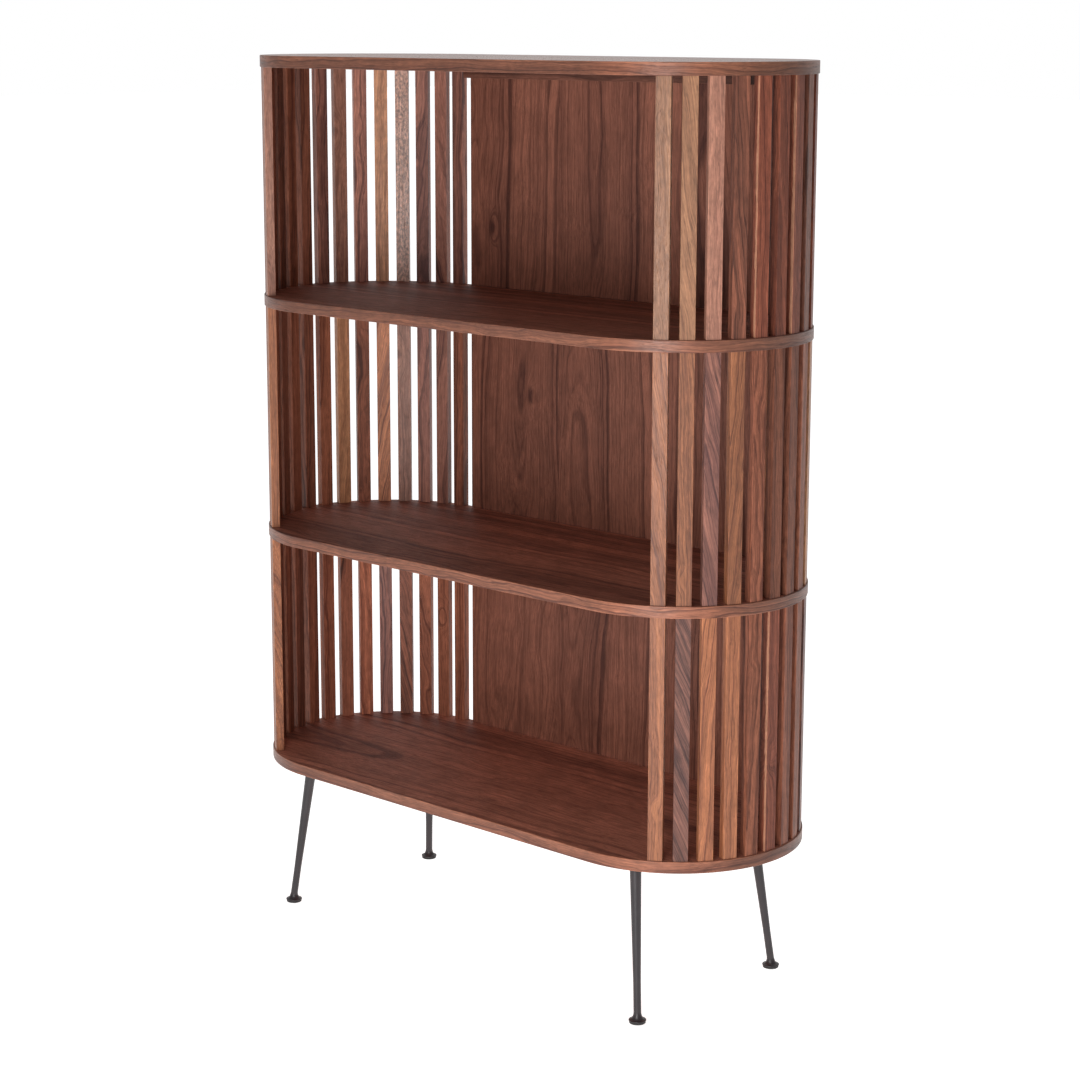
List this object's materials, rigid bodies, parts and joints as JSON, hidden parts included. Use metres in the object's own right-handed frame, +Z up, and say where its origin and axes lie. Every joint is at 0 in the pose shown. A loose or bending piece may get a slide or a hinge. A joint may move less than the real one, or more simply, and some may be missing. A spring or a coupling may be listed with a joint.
{
  "type": "bookcase",
  "caption": "Open wooden bookcase with fixed shelves, rounded slatted ends, veneered back panels and splayed round metal legs on levelling glides.",
  "frame": {"origin": "on the floor, under the middle of the case", "axes": "+X right along the open front, +Y towards the panelled back, +Z up"},
  "size_m": [1.048, 0.4, 1.434],
  "materials": {
    "walnut_slat": "satin-lacquered solid walnut, each slat its own tone",
    "walnut_board": "satin-lacquered walnut veneer, grain lengthwise",
    "walnut_edge_band": "satin-lacquered bent walnut lipping, grain along the edge",
    "walnut_back_panel": "satin-lacquered walnut veneer, upright cathedral grain",
    "black_metal": "matte brownish black powder coat",
    "glide_plastic": "matte black moulded pad",
    "zinc_screw": "bright zinc plate"
  },
  "bodies": {
    "case": {"bottom_board": "walnut_board", "shelf_lower": "walnut_board", "shelf_upper": "walnut_board", "top_board": "walnut_board", "bottom_board_edge_band": "walnut_edge_band", "shelf_lower_edge_band": "walnut_edge_band", "shelf_upper_edge_band": "walnut_edge_band", "top_board_edge_band": "walnut_edge_band", "slat_left_01": "walnut_slat", "slat_left_02": "walnut_slat", "slat_left_03": "walnut_slat", "slat_left_04": "walnut_slat", "slat_left_05": "walnut_slat", "slat_left_06": "walnut_slat", "slat_left_07": "walnut_slat", "slat_left_08": "walnut_slat", "slat_left_09": "walnut_slat", "slat_left_10": "walnut_slat", "slat_left_11": "walnut_slat", "slat_left_12": "walnut_slat", "slat_left_13": "walnut_slat", "slat_left_14": "walnut_slat", "slat_right_01": "walnut_slat", "slat_right_02": "walnut_slat", "slat_right_03": "walnut_slat", "slat_right_04": "walnut_slat", "slat_right_05": "walnut_slat", "slat_right_06": "walnut_slat", "slat_right_07": "walnut_slat", "slat_right_08": "walnut_slat", "slat_right_09": "walnut_slat", "slat_right_10": "walnut_slat", "slat_right_11": "walnut_slat", "slat_right_12": "walnut_slat", "slat_right_13": "walnut_slat", "slat_right_14": "walnut_slat", "back_panel_lower": "walnut_back_panel", "back_panel_middle": "walnut_back_panel", "back_panel_upper": "walnut_back_panel", "back_top_rail": "walnut_board", "leg_front_left": "black_metal", "leg_front_right": "black_metal", "leg_back_left": "black_metal", "leg_back_right": "black_metal", "leg_plate_front_left": "black_metal", "leg_plate_front_right": "black_metal", "leg_plate_back_left": "black_metal", "leg_plate_back_right": "black_metal", "plate_screw_front_left_a": "zinc_screw", "plate_screw_front_left_b": "zinc_screw", "plate_screw_front_right_a": "zinc_screw", "plate_screw_front_right_b": "zinc_screw", "plate_screw_back_left_a": "zinc_screw", "plate_screw_back_left_b": "zinc_screw", "plate_screw_back_right_a": "zinc_screw", "plate_screw_back_right_b": "zinc_screw"},
    "glide_front_left": {"glide_front_left": "glide_plastic"},
    "glide_front_right": {"glide_front_right": "glide_plastic"},
    "glide_back_left": {"glide_back_left": "glide_plastic"},
    "glide_back_right": {"glide_back_right": "glide_plastic"}
  },
  "joints": [
    {"name": "level_front_left", "type": "slide", "parent": "case", "child": "glide_front_left", "axis": [0, 0, -1], "range_m": [0, 0.008]},
    {"name": "level_front_right", "type": "slide", "parent": "case", "child": "glide_front_right", "axis": [0, 0, -1], "range_m": [0, 0.008]},
    {"name": "level_back_left", "type": "slide", "parent": "case", "child": "glide_back_left", "axis": [0, 0, -1], "range_m": [0, 0.008]},
    {"name": "level_back_right", "type": "slide", "parent": "case", "child": "glide_back_right", "axis": [0, 0, -1], "range_m": [0, 0.008]}
  ]
}
